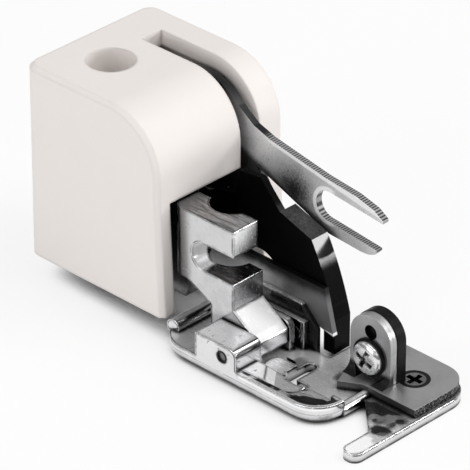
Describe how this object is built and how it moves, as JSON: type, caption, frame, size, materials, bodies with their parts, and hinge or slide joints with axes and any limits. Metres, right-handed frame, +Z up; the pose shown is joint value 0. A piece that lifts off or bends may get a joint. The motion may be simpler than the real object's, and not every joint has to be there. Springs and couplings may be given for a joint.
{
  "type": "sewing machine presser foot",
  "caption": "Low-shank side-cutter presser foot: white housing, fork lever that drives a swinging knife, slotted shank and hinged chrome sole with needle opening and edge guide.",
  "frame": {"origin": "on the sole's underside, straight below the presser bar's axis", "axes": "+X to the operator's right, +Y to the back, +Z up along the presser bar"},
  "size_m": [0.0273, 0.0633, 0.032],
  "materials": {
    "white_plastic": "moulded off-white plastic, fine matte grain",
    "black_plastic": "black moulded plastic, satin",
    "chrome": "bright chrome plate over brushed casting",
    "bright_steel": "polished steel sheet with bright cut edges",
    "grey_steel": "satin grey steel sheet",
    "zinc_steel": "zinc-plated turned steel",
    "black_steel": "black oxide steel"
  },
  "bodies": {
    "frame": {"housing": "white_plastic", "housing_screw": "zinc_steel", "shank": "chrome", "fork_shaft": "zinc_steel", "fork_spacer": "zinc_steel", "knife_shaft": "zinc_steel", "knife_spacer_left": "zinc_steel", "knife_spacer_right": "zinc_steel"},
    "fork": {"fork_plate": "bright_steel", "fork_bush": "zinc_steel", "crank_pin": "zinc_steel"},
    "knife": {"knife_arm": "black_plastic", "moving_knife": "grey_steel", "knife_rivets": "zinc_steel"},
    "foot": {"sole": "chrome", "hinge_pin": "zinc_steel", "fixed_knife": "bright_steel", "fixed_knife_rivets": "zinc_steel", "guide_plate": "grey_steel", "ear_plate": "grey_steel", "nut_plate": "black_steel", "pan_washer": "zinc_steel", "pan_screw": "zinc_steel", "flat_screw": "black_steel"}
  },
  "joints": [
    {"name": "fork_swing", "type": "hinge", "parent": "frame", "child": "fork", "pos_m": [0.0087, 0.014, 0.021], "axis": [-1, 0, 0], "range_deg": [0, 45]},
    {"name": "knife_swing", "type": "hinge", "parent": "frame", "child": "knife", "pos_m": [0.003, 0.013, 0.0105], "axis": [-1, 0, 0], "range_deg": [0, 9.95]},
    {"name": "sole_rock", "type": "hinge", "parent": "frame", "child": "foot", "pos_m": [-0.004, -0.0082, 0.00425], "axis": [-1, 0, 0], "range_deg": [0, 6]}
  ],
  "couplings": [
    {"joint": "knife_swing", "follows": "fork_swing", "ratio": 0.22}
  ]
}
